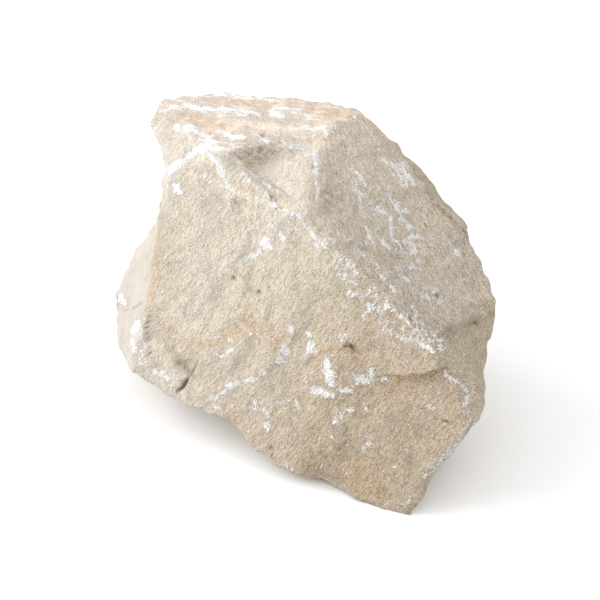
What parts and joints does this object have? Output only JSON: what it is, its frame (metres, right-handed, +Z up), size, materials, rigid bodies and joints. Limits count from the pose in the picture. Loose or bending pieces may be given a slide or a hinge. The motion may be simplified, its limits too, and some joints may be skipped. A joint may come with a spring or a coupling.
{
  "type": "rockery stone",
  "caption": "Angular block of pale limestone for a rockery, with flat broken faces, a scooped bay, a stepped slab and a small flat spot to rest on",
  "frame": {"origin": "in the flat resting face, straight below the heart of the stone", "axes": "+Z up out of the ground; -Y the front, with the large smooth break; +X the stone's right as the front is seen"},
  "size_m": [0.2774, 0.3073, 0.1959],
  "materials": {
    "limestone": "rough broken limestone, matt, with white calcite scars and ochre stains"
  },
  "bodies": {
    "root": {"stone": "limestone"}
  },
  "joints": []
}
